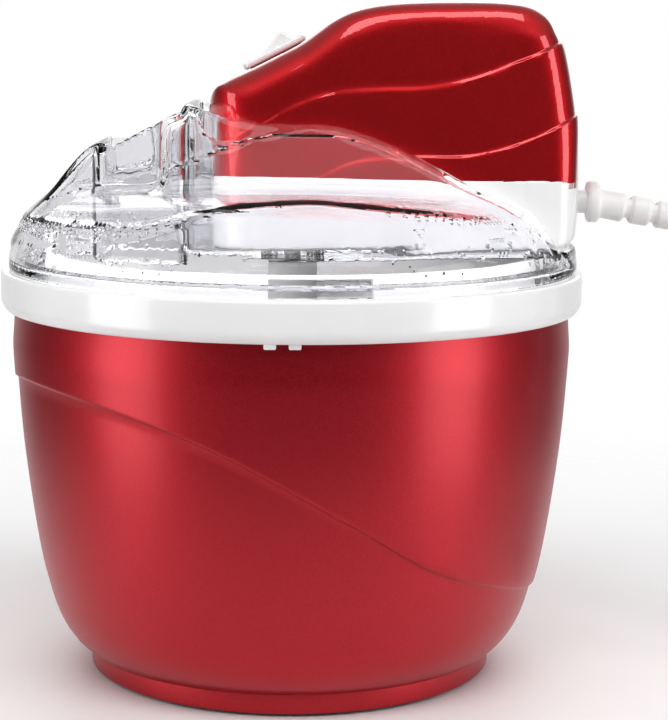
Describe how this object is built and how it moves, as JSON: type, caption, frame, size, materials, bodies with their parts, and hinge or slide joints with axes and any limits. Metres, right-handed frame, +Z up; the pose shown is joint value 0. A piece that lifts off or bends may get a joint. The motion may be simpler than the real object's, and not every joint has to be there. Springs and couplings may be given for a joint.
{
  "type": "ice cream maker",
  "caption": "Table-top ice cream maker: round red outer bowl with a lift-out freezer bowl, clear lid with filling chute and a clip-on motor unit that drives the paddle.",
  "frame": {"origin": "centre of the round foot, on the surface it stands on", "axes": "+Z up, +X to the rear where the mains lead leaves the motor unit, -X to the filling chute"},
  "size_m": [0.3668, 0.21, 0.241],
  "materials": {
    "red_body": "satin metallic red lacquer over moulded plastic",
    "red_cover": "high-gloss metallic red lacquer over moulded plastic",
    "white_gloss": "glossy white moulded plastic",
    "clear_lid": "clear moulded plastic, polished",
    "pan_metal": "satin spun aluminium",
    "white_matt": "fine-grained white moulded plastic",
    "gel": "pale blue coolant gel",
    "black_rubber": "matt black rubber",
    "silicone": "translucent white silicone",
    "nylon": "natural nylon",
    "steel": "zinc-plated steel",
    "bronze": "sintered bronze and brass",
    "copper": "enamelled copper windings on a laminated core",
    "magnet": "dark ferrite",
    "board": "green circuit board",
    "black_plastic": "black moulded plastic",
    "cord_white": "soft white PVC lead"
  },
  "bodies": {
    "base": {"outer_shell": "red_body", "foot_pad_ring": "black_rubber", "rim_ring": "white_gloss"},
    "freezer_bowl": {"freezer_bowl_jacket": "white_matt", "freezer_bowl_pan": "pan_metal", "coolant_gel": "gel", "freezer_bowl_rim": "white_matt", "coolant_fill_plug": "black_rubber"},
    "paddle": {"paddle": "white_gloss"},
    "lid_seal": {"lid_seal": "silicone"},
    "lid": {"lid": "clear_lid"},
    "rocker": {"switch_rocker": "white_gloss"},
    "output": {"output_gear": "nylon", "output_shaft": "steel"},
    "gear_second": {"gear_second": "nylon"},
    "gear_first": {"gear_first": "nylon"},
    "rotor": {"rotor_core": "copper", "commutator": "bronze", "rotor_shaft": "steel", "motor_pinion": "bronze"},
    "motor_unit": {"motor_cover": "red_cover", "motor_base": "white_gloss", "switch_frame": "white_gloss", "switch_body": "black_plastic", "gear_axle_1": "steel", "gear_axle_2": "steel", "shaft_bush": "bronze", "gearbox_plate": "steel", "motor_can": "steel", "motor_end_cap": "black_plastic", "field_magnet_1": "magnet", "field_magnet_2": "magnet", "rectifier_board": "board", "bridge_rectifier": "black_plastic", "smoothing_capacitor": "black_plastic", "cord_clamp": "white_gloss", "strain_relief": "cord_white", "cord_drop": "cord_white", "cord_coil": "cord_white", "cord_tail": "cord_white", "cord_tie": "black_plastic", "plug_body": "white_gloss", "plug_pin_1": "bronze", "plug_pin_2": "bronze", "housing_screw_1": "steel", "plate_screw_1": "steel", "housing_screw_2": "steel", "plate_screw_2": "steel", "housing_screw_3": "steel", "plate_screw_3": "steel", "housing_screw_4": "steel", "plate_screw_4": "steel", "motor_screw_1": "steel", "motor_screw_2": "steel"}
  },
  "joints": [
    {"name": "bowl_lift", "type": "slide", "parent": "base", "child": "freezer_bowl", "axis": [0, 0, 1], "range_m": [0, 0.135]},
    {"name": "paddle_spin", "type": "hinge", "parent": "freezer_bowl", "child": "paddle", "pos_m": [0, 0, 0.09], "axis": [0, 0, 1], "continuous": true},
    {"name": "lid_lift", "type": "slide", "parent": "freezer_bowl", "child": "lid_seal", "axis": [0, 0, 1], "range_m": [0, 0.1]},
    {"name": "lid_turn", "type": "hinge", "parent": "lid_seal", "child": "lid", "pos_m": [0, 0, 0.141], "axis": [0, 0, 1], "range_deg": [0, 12]},
    {"name": "unit_lift", "type": "slide", "parent": "lid", "child": "motor_unit", "axis": [0, 0, 1], "range_m": [0, 0.075]},
    {"name": "switch_rock", "type": "hinge", "parent": "motor_unit", "child": "rocker", "pos_m": [-0.00564, 0, 0.22091], "axis": [0, 1, 0], "range_deg": [0, 14]},
    {"name": "output_spin", "type": "hinge", "parent": "motor_unit", "child": "output", "pos_m": [0, 0, 0.163], "axis": [0, 0, 1], "continuous": true},
    {"name": "gear_second_spin", "type": "hinge", "parent": "motor_unit", "child": "gear_second", "pos_m": [0.024, 0, 0.166], "axis": [0, 0, 1], "continuous": true},
    {"name": "gear_first_spin", "type": "hinge", "parent": "motor_unit", "child": "gear_first", "pos_m": [0.048, 0, 0.172], "axis": [0, 0, 1], "continuous": true},
    {"name": "rotor_spin", "type": "hinge", "parent": "motor_unit", "child": "rotor", "pos_m": [0.072, 0, 0.2], "axis": [0, 0, 1], "continuous": true}
  ],
  "couplings": [
    {"joint": "paddle_spin", "follows": "rotor_spin", "ratio": -0.037037},
    {"joint": "output_spin", "follows": "rotor_spin", "ratio": -0.037037},
    {"joint": "gear_second_spin", "follows": "rotor_spin", "ratio": 0.11111},
    {"joint": "gear_first_spin", "follows": "rotor_spin", "ratio": -0.33333}
  ]
}
